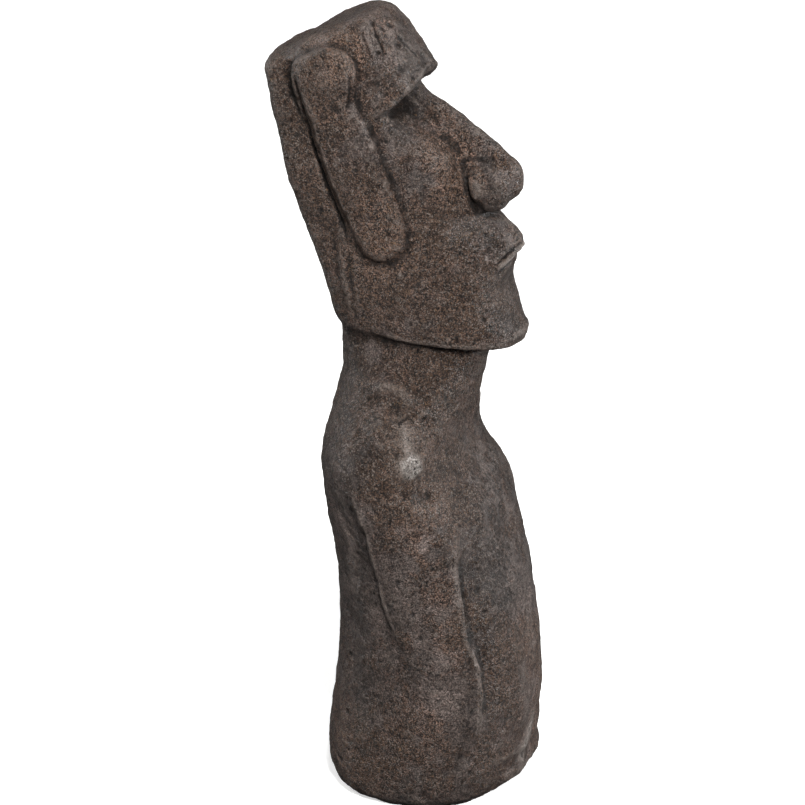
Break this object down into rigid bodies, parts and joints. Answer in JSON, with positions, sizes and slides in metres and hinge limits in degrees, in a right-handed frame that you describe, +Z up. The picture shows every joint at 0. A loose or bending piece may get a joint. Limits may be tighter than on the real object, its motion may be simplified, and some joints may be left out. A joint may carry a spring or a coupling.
{
  "type": "moai statue",
  "caption": "Cast garden statue of a moai: long head with brow, nose and long ears, on a torso with arms at its sides, standing on a flat underside.",
  "frame": {"origin": "middle of the flat underside", "axes": "+Z up through the head, the face looks along -Y, the statue's left side is +X"},
  "size_m": [0.2588, 0.2695, 0.7988],
  "materials": {
    "cast stone": "dark painted cast stone, satin, brown in the recesses and worn grey on the raised parts"
  },
  "bodies": {
    "root": {"statue": "cast stone"}
  },
  "joints": []
}
